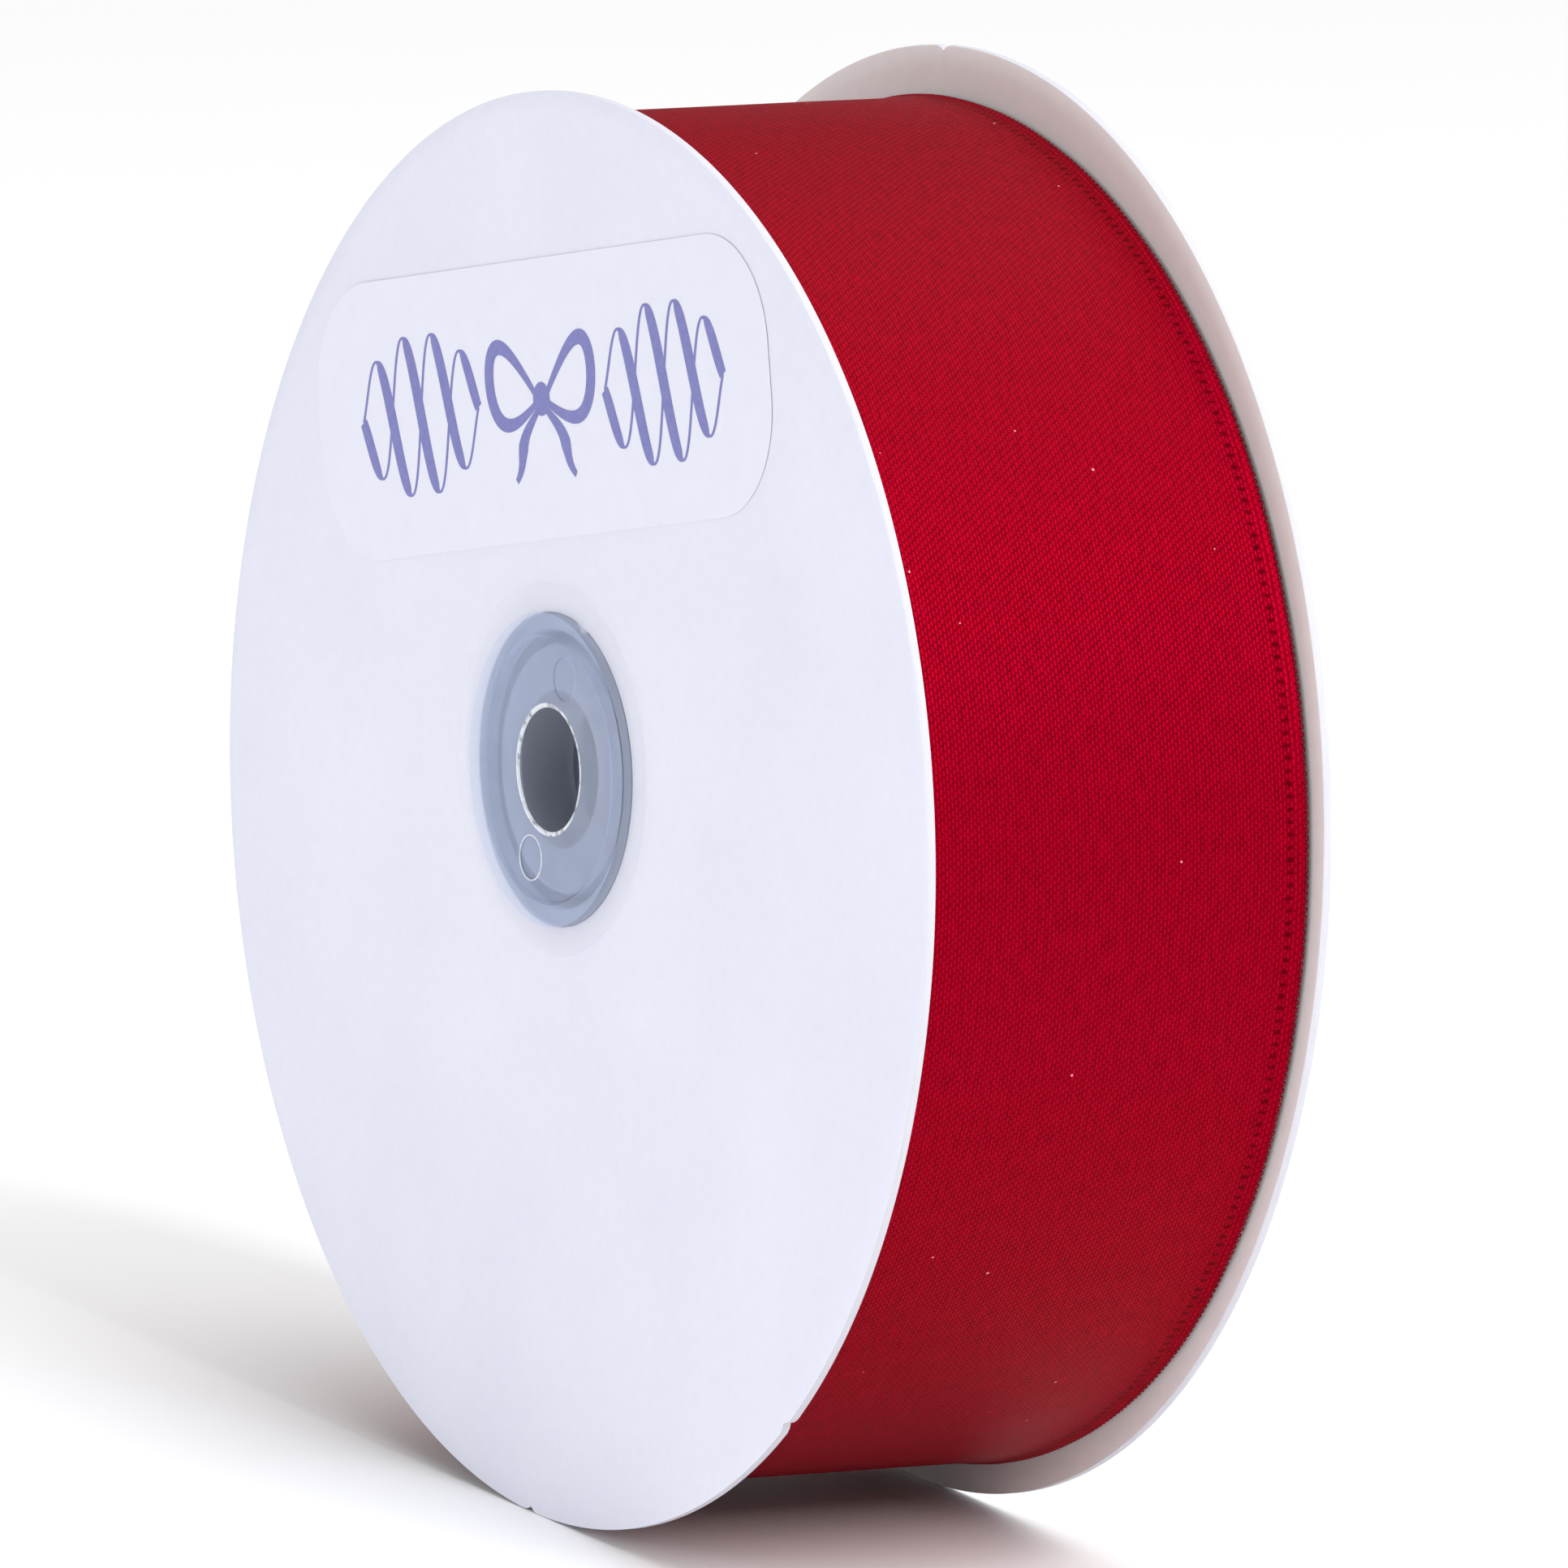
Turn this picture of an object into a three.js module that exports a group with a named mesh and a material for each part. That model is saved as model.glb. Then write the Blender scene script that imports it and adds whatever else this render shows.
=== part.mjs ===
// A spool of satin ribbon, standing on its two round flanges.
//
// Millimetres. The spool's axis runs along Y, the labelled front flange faces -Y, and +Z is up. The
// origin is on the table, under the middle of the spool. Angles round the spool are measured in the
// XZ plane from +Z towards +X, as seen from the front.

import * as THREE from 'three';

// Flanges: two die-cut discs of white paperboard.
const FRONT_RADIUS = 63.5;
const BACK_OVERSIZE = 1; // how much larger the back disc's radius is
const BOARD_THICKNESS = 0.8;
const BOARD_HOLE_PLAY = 1.6; // room between the hub's skirt and the punched hole
const NICK_DEPTH = 0.7; // tag that the punch leaves on the edge of the front hole
const NICK_WIDTH = 1.4;
const NICK_ANGLE = 15;
const FRONT_HOLE_LEFT = 3.2; // the front hole is punched off its disc's centre, up and to the left
const HOLE_RISE = 3.1;

// Ribbon: 38 mm satin, wound on a paper core.
const RIBBON_WIDTH = 38.1;
const RIBBON_FRONT_PLAY = 1.3; // free room between the ribbon's edges and the flanges
const RIBBON_BACK_PLAY = 0.6;
const RIM_ROOM = 4.2; // how far the front flange stands past the wound ribbon
const TURN_THICKNESS = 0.4; // last turn, as a solid that is thick enough to handle
const TURN_GAP = 0.1;
const TAIL_LENGTH = 40;
const TAIL_HINGE_ANGLE = 278; // just above the left side's middle
const TAIL_END_GAP = 0.3;

// Core: a spiral-wound paper tube that has dropped on to the hubs' barbs by its free room.
const CORE_CLEARANCE = 0.3;
const CORE_WALL = 1.5;

// Hubs: two moulded plastic bushes that snap into the flanges and take the rod.
const HUB_FLANGE_LAP = 2.6; // how far the outer ring covers the board round its hole
const HUB_FLANGE_THICKNESS = 0.9;
const HUB_EDGE_BEVEL = 0.3;
const SKIRT_RADIUS = 12.3;
const SKIRT_WALL = 1.1;
const SKIRT_LENGTH = 9;
const RECESS_DEPTH = 0.35; // how far the web lies below the hub's outer ring
const WEB_THICKNESS = 1.1;
const BORE_RADIUS = 5.5;
const BOSS_WALL = 0.9;
const BOSS_LENGTH = 5;
const BARB_HEIGHT = 0.4; // bead behind the board, past the edge of its hole
const BARB_LENGTH = 1.4;
const SEAT_GAP = 0.1; // free room between a hub and the board that it is snapped into

// Tapes and sticker.
const TAPE_THICKNESS = 0.12;
const TAPE_GAP = 0.1; // also clears the flats of the round piece below
const TAIL_TAPE_WIDTH = 12;
const TAIL_TAPE_LENGTH = 18;
const TAIL_TAPE_HOLD = 8; // how much of the tape lies past the ribbon's end
const START_TAPE_WIDTH = 19;
const START_TAPE_LENGTH = 25;
const STICKER_HEIGHT = 24.8;
const STICKER_CORNER = 10;
const STICKER_TILT = THREE.MathUtils.degToRad(14); // the spool has rolled to the left by this
const STICKER_HUB_GAP = 3.7;
const STICKER_RIM_GAP = 3.7;

const SEGMENTS = 72; // sides of every round piece, with a flat one at the bottom

// Places that follow from the sizes above.
const innerFace = (RIBBON_FRONT_PLAY + RIBBON_WIDTH + RIBBON_BACK_PLAY) / 2;
const outerFace = innerFace + BOARD_THICKNESS;
const ribbonMiddle = (RIBBON_FRONT_PLAY - RIBBON_BACK_PLAY) / 2;
const backRadius = FRONT_RADIUS + BACK_OVERSIZE;
const rollRadius = FRONT_RADIUS - RIM_ROOM;
const flatSide = Math.cos(Math.PI / SEGMENTS); // a disc's centre height, flat side down, per radius
const sideways = (FRONT_HOLE_LEFT + BACK_OVERSIZE * flatSide) / 2;
const frontCentre = new THREE.Vector2(sideways, FRONT_RADIUS * flatSide);
const backCentre = new THREE.Vector2(sideways - FRONT_HOLE_LEFT, backRadius * flatSide);
const hubCentre = new THREE.Vector2(backCentre.x, frontCentre.y + HOLE_RISE);
const boardHoleRadius = SKIRT_RADIUS + BOARD_HOLE_PLAY;
const hubFlangeRadius = boardHoleRadius + HUB_FLANGE_LAP;
const barbRadius = boardHoleRadius + BARB_HEIGHT;
const coreInnerRadius = barbRadius + hubCentre.distanceTo(frontCentre) + CORE_CLEARANCE;
const coreRadius = coreInnerRadius + CORE_WALL;
const rollInnerRadius = coreRadius + TAPE_THICKNESS + 2 * TAPE_GAP;
const turnInnerRadius = rollRadius - TURN_THICKNESS;
const wrapTape = rollRadius + TAPE_GAP;

const board = { color: 0xe9eaf8, roughness: 0.45, metalness: 0 };
const satin = { color: 0xa80c28, roughness: 0.5, metalness: 0 };
const clearPlastic = { color: 0xa6aec0, roughness: 0.3, metalness: 0 };
const chipboard = { color: 0x8b8986, roughness: 0.9, metalness: 0 };
const clearTape = { color: 0xe8ecf0, roughness: 0.2, metalness: 0 };

function piece(name, geometry, finish, x, y, z) {
  const mesh = new THREE.Mesh(geometry, new THREE.MeshStandardMaterial(finish));
  mesh.name = name;
  mesh.position.set(x, y, z);
  return mesh;
}

// A point at an angle in degrees round the spool, in the plane of a flange.
function around(radius, angle, centre = new THREE.Vector2()) {
  const turn = THREE.MathUtils.degToRad(angle);
  return new THREE.Vector2(centre.x + radius * Math.sin(turn), centre.y + radius * Math.cos(turn));
}

function circle(radius, centre) {
  const step = 360 / SEGMENTS;
  return Array.from({ length: SEGMENTS }, (_, i) => around(radius, (i + 0.5) * step, centre));
}

// A flat outline in the XZ plane, made solid along Y and centred on it. Outlines are listed the way
// that angles run, clockwise, and are turned round because a shape with holes runs the other way.
function plate(outline, holes, depth) {
  const shape = new THREE.Shape([...outline].reverse());
  shape.holes = holes.map((hole) => new THREE.Path(hole));
  const solid = new THREE.ExtrudeGeometry(shape, { depth, bevelEnabled: false });
  return solid.translate(0, 0, -depth / 2).rotateX(Math.PI / 2);
}

// Part of a round band, from one angle to the other, such as a turn of ribbon or a strip of tape.
function band(inner, thickness, from, to, width) {
  const steps = Math.max(2, Math.round((to - from) / (360 / SEGMENTS)));
  const angles = Array.from({ length: steps + 1 }, (_, i) => from + ((to - from) * i) / steps);
  const outside = angles.map((angle) => around(inner + thickness, angle));
  const inside = angles.map((angle) => around(inner, angle)).reverse();
  return plate([...outside, ...inside], [], width);
}

const degreesPer = (length, radius) => THREE.MathUtils.radToDeg(length / radius);

// The front disc keeps the tag that the punch left on the edge of its hole.
function punchedHoleWithNick(centre) {
  const reach = degreesPer(NICK_WIDTH / 2, boardHoleRadius);
  const angles = Array.from({ length: SEGMENTS }, (_, i) => ((i + 0.5) * 360) / SEGMENTS);
  const edge = (angle) => around(boardHoleRadius, angle, centre);
  return [
    ...angles.filter((angle) => angle < NICK_ANGLE - reach).map(edge),
    around(boardHoleRadius - NICK_DEPTH, NICK_ANGLE - reach, centre),
    around(boardHoleRadius - NICK_DEPTH, NICK_ANGLE + reach, centre),
    ...angles.filter((angle) => angle > NICK_ANGLE + reach).map(edge),
  ];
}

function flanges() {
  const frontHole = punchedHoleWithNick(hubCentre.clone().sub(frontCentre));
  const backHole = circle(boardHoleRadius, hubCentre.clone().sub(backCentre));
  const middle = (innerFace + outerFace) / 2;
  const front = plate(circle(FRONT_RADIUS), [frontHole], BOARD_THICKNESS);
  const back = plate(circle(backRadius), [backHole], BOARD_THICKNESS);
  return [
    piece('front_flange', front, board, frontCentre.x, -middle, frontCentre.y),
    piece('back_flange', back, board, backCentre.x, middle, backCentre.y),
  ];
}

// A hub's section: radius from the rod's axis, and depth from the board's outer face inwards.
function hubSection() {
  const face = -SEAT_GAP - HUB_FLANGE_THICKNESS;
  const web = face + RECESS_DEPTH;
  const webBack = web + WEB_THICKNESS;
  const barb = BOARD_THICKNESS + SEAT_GAP;
  const recess = SKIRT_RADIUS - RECESS_DEPTH;
  return [
    [BORE_RADIUS, web],
    [recess - RECESS_DEPTH, web],
    [recess, face],
    [hubFlangeRadius - HUB_EDGE_BEVEL, face],
    [hubFlangeRadius, face + HUB_EDGE_BEVEL],
    [hubFlangeRadius, -SEAT_GAP],
    [SKIRT_RADIUS, -SEAT_GAP],
    [SKIRT_RADIUS, barb],
    [barbRadius, barb],
    [SKIRT_RADIUS, barb + BARB_LENGTH],
    [SKIRT_RADIUS, SKIRT_LENGTH],
    [SKIRT_RADIUS - SKIRT_WALL, SKIRT_LENGTH],
    [SKIRT_RADIUS - SKIRT_WALL, webBack],
    [BORE_RADIUS + BOSS_WALL, webBack],
    [BORE_RADIUS + BOSS_WALL, BOSS_LENGTH],
    [BORE_RADIUS, BOSS_LENGTH],
    [BORE_RADIUS, web],
  ].map(([radius, depth]) => new THREE.Vector2(radius, depth));
}

function hubs() {
  const front = new THREE.LatheGeometry(hubSection(), SEGMENTS, Math.PI / SEGMENTS);
  const back = front.clone().rotateZ(Math.PI);
  return [
    piece('front_hub', front, clearPlastic, hubCentre.x, -outerFace, hubCentre.y),
    piece('back_hub', back, clearPlastic, hubCentre.x, outerFace, hubCentre.y),
  ];
}

// The core and the ribbon lie concentric with the front flange.
function wound(name, geometry, finish, y = ribbonMiddle) {
  return piece(name, geometry, finish, frontCentre.x, y, frontCentre.y);
}

function core() {
  const tube = plate(circle(coreRadius), [circle(coreInnerRadius)], 2 * innerFace - 2 * SEAT_GAP);
  const half = degreesPer(START_TAPE_LENGTH, coreRadius) / 2;
  const tape = band(coreRadius + TAPE_GAP, TAPE_THICKNESS, 90 - half, 90 + half, START_TAPE_WIDTH);
  return [wound('core_tube', tube, chipboard, 0), wound('start_tape', tape, clearTape)];
}

function ribbon() {
  const rollOuterRadius = turnInnerRadius - TURN_GAP;
  const roll = plate(circle(rollOuterRadius), [circle(rollInnerRadius)], RIBBON_WIDTH);
  const gap = degreesPer(TAIL_END_GAP, rollRadius);
  const tailEnd = TAIL_HINGE_ANGLE - degreesPer(TAIL_LENGTH, rollRadius);
  const turnStart = TAIL_HINGE_ANGLE + gap;
  const turnEnd = tailEnd - gap + 360;
  const turn = band(turnInnerRadius, TURN_THICKNESS, turnStart, turnEnd, RIBBON_WIDTH);
  const tail = band(turnInnerRadius, TURN_THICKNESS, tailEnd, TAIL_HINGE_ANGLE, RIBBON_WIDTH);
  const tapeStart = tailEnd - degreesPer(TAIL_TAPE_HOLD, rollRadius);
  const tapeEnd = tapeStart + degreesPer(TAIL_TAPE_LENGTH, rollRadius);
  const tape = band(wrapTape, TAPE_THICKNESS, tapeStart, tapeEnd, TAIL_TAPE_WIDTH);
  return [
    wound('ribbon_roll', roll, satin),
    wound('ribbon_outer_turn', turn, satin),
    wound('ribbon_tail', tail, satin),
    wound('tail_tape', tape, clearTape),
  ];
}

// The sticker sits above the hub, and is as wide as the rim lets its rounded corners reach. It is laid
// out upright on its disc and then turned with it.
function sticker() {
  const hubOffset = hubCentre.clone().sub(frontCentre).rotateAround(new THREE.Vector2(), -STICKER_TILT);
  const height = hubOffset.y + hubFlangeRadius + STICKER_HUB_GAP + STICKER_HEIGHT / 2;
  const top = STICKER_HEIGHT / 2 - STICKER_CORNER;
  const reach = FRONT_RADIUS - STICKER_RIM_GAP - STICKER_CORNER;
  const out = Math.sqrt(reach ** 2 - (height + top) ** 2);
  const corners = [[out, top], [out, -top], [-out, -top], [-out, top]];
  const arc = [0, 15, 30, 45, 60, 75, 90];
  const outline = corners.flatMap(([x, z], i) => {
    const corner = new THREE.Vector2(x, z + height);
    return arc.map((angle) => around(STICKER_CORNER, angle + 90 * i, corner));
  });
  const sheet = plate(outline, [], TAPE_THICKNESS).rotateY(-STICKER_TILT);
  const depth = outerFace + TAPE_GAP + TAPE_THICKNESS / 2;
  return piece('product_label', sheet, board, frontCentre.x, -depth, frontCentre.y);
}

const spool = new THREE.Group();
spool.add(...flanges(), ...hubs(), ...core(), ...ribbon(), sticker());

export default spool;
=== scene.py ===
# A spool of red satin ribbon: two round board flanges on a paper core, moulded hubs for a rod, and the
# wound ribbon with its free end taped down. The spool stands on its rims, with its axis along Y.
import math

import bpy
from mathutils import Matrix, Vector, noise


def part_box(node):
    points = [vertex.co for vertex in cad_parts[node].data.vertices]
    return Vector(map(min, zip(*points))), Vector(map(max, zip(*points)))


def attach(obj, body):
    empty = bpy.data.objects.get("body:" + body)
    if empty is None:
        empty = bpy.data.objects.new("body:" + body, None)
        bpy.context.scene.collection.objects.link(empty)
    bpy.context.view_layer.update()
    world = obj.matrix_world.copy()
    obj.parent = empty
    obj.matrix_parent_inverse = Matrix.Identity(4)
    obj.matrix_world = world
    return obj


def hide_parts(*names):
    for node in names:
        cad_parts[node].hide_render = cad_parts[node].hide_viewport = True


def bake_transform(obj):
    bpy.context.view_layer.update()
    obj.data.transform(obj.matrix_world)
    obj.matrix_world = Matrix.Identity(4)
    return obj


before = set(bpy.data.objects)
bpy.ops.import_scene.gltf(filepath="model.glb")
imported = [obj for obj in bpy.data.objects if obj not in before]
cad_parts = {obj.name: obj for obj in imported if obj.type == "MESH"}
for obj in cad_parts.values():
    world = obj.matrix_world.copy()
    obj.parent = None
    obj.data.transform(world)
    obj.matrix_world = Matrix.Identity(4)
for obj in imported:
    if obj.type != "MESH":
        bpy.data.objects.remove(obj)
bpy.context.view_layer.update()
MM = 0.001


# --- Camera -------------------------------------------------------------------------------------
# The spool is seen from its right front, a little from above, through a very long lens that is
# turned a little about its own axis.
azimuth, elevation, roll = math.radians(60.16), math.radians(10.93), math.radians(2.92)
aim = Vector((3.2, 0, 65.0)) * MM
away = Vector((
    math.sin(azimuth) * math.cos(elevation),
    -math.cos(azimuth) * math.cos(elevation),
    math.sin(elevation),
))
lens = bpy.data.cameras.new("studio_lens")
lens.lens = 686.3
lens.sensor_width = 36
lens.clip_end = 20
camera = bpy.data.objects.new("studio_camera", lens)
bpy.context.scene.collection.objects.link(camera)
turn = (
    Matrix.Rotation(azimuth, 4, "Z")
    @ Matrix.Rotation(math.pi / 2 - elevation, 4, "X")
    @ Matrix.Rotation(roll, 4, "Z")
)
camera.matrix_world = Matrix.Translation(aim + away * 2641 * MM) @ turn
bpy.context.scene.camera = camera


# --- Floor and light ----------------------------------------------------------------------------
# A pale matt table that runs on to the horizon, a dim white room, and three large soft boxes:
# one overhead, a weak one before the labelled face, and one high on the ribbon's side.
bpy.context.scene.view_settings.view_transform = "Standard"


def linear(code, alpha=1.0):
    """An sRGB hex colour as linear red, green, blue and alpha."""
    parts = [int(code[i:i + 2], 16) / 255 for i in (1, 3, 5)]
    return [c / 12.92 if c <= 0.04045 else ((c + 0.055) / 1.055) ** 2.4 for c in parts] + [alpha]


def node(tree, kind, inputs=None, **settings):
    """Adds a node with its settings, and fills or links its inputs."""
    made = tree.nodes.new(kind)
    for name, value in settings.items():
        setattr(made, name, value)
    for socket, value in (inputs or {}).items():
        if isinstance(value, bpy.types.NodeSocket):
            tree.links.new(value, made.inputs[socket])
        else:
            made.inputs[socket].default_value = value
    return made


def material(name):
    """A new material with its shader, and its node tree."""
    made = bpy.data.materials.new(name)
    made.use_nodes = True
    return made, made.node_tree, made.node_tree.nodes["Principled BSDF"]


bpy.ops.object.select_all(action="DESELECT")
bpy.ops.mesh.primitive_plane_add(size=30, location=(0, 0, 0))
table = bpy.context.object
table.name = "table"
table_paint, tree, shader = material("matt_white_table")
grain = node(tree, "ShaderNodeTexNoise", {"Scale": 60.0, "Detail": 3.0})
tone = node(tree, "ShaderNodeMapRange", {"Value": grain.outputs["Fac"], "To Min": 0.45, "To Max": 0.6})
tree.links.new(tone.outputs["Result"], shader.inputs["Roughness"])
shader.inputs["Base Color"].default_value = linear("#FDFDFE")
table.data.materials.append(table_paint)

room = bpy.data.worlds.new("white_room")
bpy.context.scene.world = room
room.use_nodes = True
room.node_tree.nodes["Background"].inputs["Color"].default_value = linear("#FFFFFF")
room.node_tree.nodes["Background"].inputs["Strength"].default_value = 0.4


def soft_box(name, place, width, height, watts, colour="#FFFFFF"):
    """A large area light at a place in metres, turned towards the spool's middle."""
    light = bpy.data.lights.new(name, "AREA")
    light.shape, light.size, light.size_y = "RECTANGLE", width, height
    light.energy, light.color = watts, linear(colour)[:3]
    box = bpy.data.objects.new(name, light)
    bpy.context.scene.collection.objects.link(box)
    box.location = place
    box.rotation_euler = (aim - Vector(place)).to_track_quat("-Z", "Y").to_euler()


soft_box("ceiling_box", (0.0, 0.35, 1.7), 2.6, 2.6, 28.5)
soft_box("face_box", (-0.2, -1.5, 0.3), 1.0, 1.0, 4.9)
soft_box("ribbon_box", (1.1, 0.15, 0.95), 0.5, 0.9, 15)


# --- Board flanges ------------------------------------------------------------------------------
# Two discs die-cut from 0.8 mm white coated paperboard. The knife rounds the face that it enters and
# leaves the pale grey pulp bare on the edge; a tag of board is left where the centre punch ran out.
def centre_of(name):
    """The middle of a CAD node's box, its half size along X, and its span along Y."""
    low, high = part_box(name)
    return (low + high) / 2, (high.x - low.x) / 2, (low.y, high.y)


def shape(name):
    """The object that was just modelled, out of edit mode, with its place put into its mesh."""
    if bpy.context.mode == "EDIT_MESH":
        bpy.ops.object.mode_set(mode="OBJECT")
    made = bpy.context.object
    made.name = made.data.name = name
    bpy.ops.object.transform_apply(location=True, rotation=True, scale=True)
    return made


def finish(made, kind, **settings):
    """Adds a modifier to a modelled piece and applies it."""
    modifier = made.modifiers.new(kind.lower(), kind)
    for key, value in settings.items():
        setattr(modifier, key, value)
    bpy.context.view_layer.objects.active = made
    bpy.ops.object.modifier_apply(modifier=modifier.name)


def punched_disc(name, disc_node, hole_centre, hole_radius, rim_marks, nick_angle=None):
    """A board disc round a CAD node's middle, with the hub's hole off its centre. Its rim is dented
    where it stayed joined to the sheet."""
    middle, radius, (near, far) = centre_of(disc_node)
    flat = (math.pi / 2, 0, 0)
    bpy.ops.object.select_all(action="DESELECT")
    bpy.ops.mesh.primitive_circle_add(vertices=720, radius=radius, location=middle, rotation=flat)
    bpy.ops.object.mode_set(mode="EDIT")
    hole_place = (hole_centre.x, middle.y, hole_centre.z)
    bpy.ops.mesh.primitive_circle_add(vertices=720, radius=hole_radius, location=hole_place, rotation=flat)
    bpy.ops.mesh.select_all(action="SELECT")
    bpy.ops.mesh.bridge_edge_loops(number_cuts=24, interpolation="LINEAR")
    disc = shape(name)
    nick_depth, nick_spread = 0.7 * MM, 0.55 * MM
    dent_depth, dent_spread, dent_reach = 0.45 * MM, 0.5 * MM, 2 * MM
    for vertex in disc.data.vertices:
        out = Vector((vertex.co.x - hole_centre.x, 0, vertex.co.z - hole_centre.z))
        if nick_angle is not None and out.length < hole_radius * 1.001:
            off = math.atan2(out.x, out.z) - nick_angle
            nick = nick_depth * math.exp(-((off * hole_radius / nick_spread) ** 2))
            vertex.co -= out.normalized() * nick
        rim = Vector((vertex.co.x - middle.x, 0, vertex.co.z - middle.z))
        for mark in rim_marks:
            off = math.remainder(math.atan2(rim.x, rim.z) - math.radians(mark), 2 * math.pi)
            dent = dent_depth * math.exp(-((off * radius / dent_spread) ** 2))
            vertex.co -= rim.normalized() * dent * max(0, 1 - (radius - rim.length) / dent_reach)
        wave = noise.noise(vertex.co * 14 + Vector((0, disc_node == "back_flange", 0)))
        vertex.co.y += 0.06 * MM * wave * min(1, out.length / radius) ** 2
    finish(disc, "SOLIDIFY", thickness=far - near, offset=0)
    finish(disc, "BEVEL", width=0.1 * MM, segments=2, limit_method="ANGLE", angle_limit=math.radians(50))
    inwards = 1 if middle.y < 0 else -1
    # Faces turned to the ribbon take the uncoated board, which is painted lighter as painted light.
    for face in disc.data.polygons:
        face.material_index = 2 if face.normal.y * inwards > 0.5 else int(abs(face.normal.y) < 0.5)
    for board_side in (coated_board, cut_board, inner_board_painted_light):
        disc.data.materials.append(board_side)
    bpy.ops.object.shade_smooth_by_angle(angle=math.radians(30))
    return disc


# Clay-coated paperboard: bright and slightly blue, matt with a faint calendered sheen. Fibre clumps
# about 1 mm long show as very low relief, and the coat's tone drifts over some 20 mm.
coated_board, tree, shader = material("clay_coated_paperboard")
place = node(tree, "ShaderNodeTexCoord").outputs["Object"]
clumps = node(tree, "ShaderNodeTexNoise", {"Vector": place, "Scale": 900.0, "Detail": 4.0})
drift = node(tree, "ShaderNodeTexNoise", {"Vector": place, "Scale": 45.0, "Detail": 2.0})
cloud = node(
    tree, "ShaderNodeMix", {"Factor": 0.35, "A": drift.outputs["Fac"], "B": clumps.outputs["Fac"]},
)
tint = node(tree, "ShaderNodeValToRGB", {"Fac": cloud.outputs["Result"]})
tint.color_ramp.elements[0].position, tint.color_ramp.elements[1].position = 0.3, 0.7
tint.color_ramp.elements[0].color = linear("#E4E5F4")
tint.color_ramp.elements[1].color = linear("#EBECF9")
relief = node(
    tree, "ShaderNodeBump", {"Height": clumps.outputs["Fac"], "Strength": 0.12, "Distance": 0.05 * MM},
)
tree.links.new(tint.outputs["Color"], shader.inputs["Base Color"])
tree.links.new(relief.outputs["Normal"], shader.inputs["Normal"])
shader.inputs["Roughness"].default_value = 0.42
shader.inputs["IOR"].default_value = 1.5

# Bare pulp on the cut edge: pale grey, rough and layered along the board's thickness.
cut_board, tree, shader = material("die_cut_board_edge")
place = node(tree, "ShaderNodeTexCoord").outputs["Object"]
layered = node(tree, "ShaderNodeMapping", {"Vector": place, "Scale": (300.0, 9000.0, 300.0)})
plies = node(
    tree, "ShaderNodeTexNoise", {"Vector": layered.outputs["Vector"], "Scale": 1.0, "Detail": 3.0},
)
tint = node(tree, "ShaderNodeValToRGB", {"Fac": plies.outputs["Fac"]})
tint.color_ramp.elements[0].color = linear("#BDBDC4")
tint.color_ramp.elements[1].color = linear("#D2D2DC")
relief = node(
    tree, "ShaderNodeBump", {"Height": plies.outputs["Fac"], "Strength": 0.4, "Distance": 0.08 * MM},
)
tree.links.new(tint.outputs["Color"], shader.inputs["Base Color"])
tree.links.new(relief.outputs["Normal"], shader.inputs["Normal"])
shader.inputs["Roughness"].default_value = 0.85

# The uncoated side that faces the ribbon: warmer than the clay coat, quite matt, and painted lighter than
# the coated face as painted light, for the light that falls less on the faces turned to the ribbon.
inner_board_painted_light, tree, shader = material("uncoated_paperboard_painted_light")
place = node(tree, "ShaderNodeTexCoord").outputs["Object"]
pulp = node(tree, "ShaderNodeTexNoise", {"Vector": place, "Scale": 500.0, "Detail": 4.0})
tint = node(tree, "ShaderNodeValToRGB", {"Fac": pulp.outputs["Fac"]})
tint.color_ramp.elements[0].color = linear("#EEEBEB")
tint.color_ramp.elements[1].color = linear("#F8F6F5")
tree.links.new(tint.outputs["Color"], shader.inputs["Base Color"])
shader.inputs["Roughness"].default_value = 0.75

hub_centre, _, (front_hub_face, _) = centre_of("front_hub")
skirt_radius = 12.3 * MM
room_round_skirt = 1.6 * MM
hole_radius = skirt_radius + room_round_skirt
front_board = punched_disc(
    "front_board", "front_flange", hub_centre, hole_radius,
    rim_marks=(181, 137), nick_angle=math.radians(15),
)
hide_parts("front_flange")
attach(front_board, "spool")
back_board = punched_disc("back_board", "back_flange", hub_centre, hole_radius, rim_marks=(-8,))
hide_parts("back_flange")
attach(back_board, "spool")


# --- Paper core ---------------------------------------------------------------------------------
# A spiral-wound chipboard tube, cut square, that the ribbon is wound on.
def turned(name, section, centre, steps=192, start=0.0, sweep=2 * math.pi):
    """Spins a section round the Y axis through a centre. Its points are (radius, y), and it closes on
    itself where the sweep is a full turn. Angles run from +Z towards +X."""
    bpy.ops.object.select_all(action="DESELECT")
    bpy.ops.mesh.primitive_plane_add(size=MM, location=centre)
    bpy.ops.object.mode_set(mode="EDIT")
    bpy.ops.mesh.merge(type="CENTER")
    points = [
        Vector((centre.x + r * math.sin(start), y, centre.z + r * math.cos(start))) for r, y in section
    ]
    at = Vector(centre)
    for i, point in enumerate(points):
        step = {"value": point - at}
        if i:
            bpy.ops.mesh.extrude_vertices_move(TRANSFORM_OT_translate=step)
        else:
            bpy.ops.transform.translate(value=point - at)
        at = point
    bpy.ops.mesh.select_all(action="SELECT")
    bpy.ops.mesh.remove_doubles(threshold=0.001 * MM)
    bpy.ops.mesh.select_all(action="SELECT")
    bpy.ops.mesh.spin(steps=steps, angle=-sweep, center=centre, axis=(0, 1, 0), use_auto_merge=True)
    bpy.ops.mesh.select_all(action="SELECT")
    bpy.ops.mesh.remove_doubles(threshold=0.001 * MM)
    bpy.ops.mesh.normals_make_consistent(inside=False)
    made = shape(name)
    bpy.ops.object.shade_smooth_by_angle(angle=math.radians(30))
    return made


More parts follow.
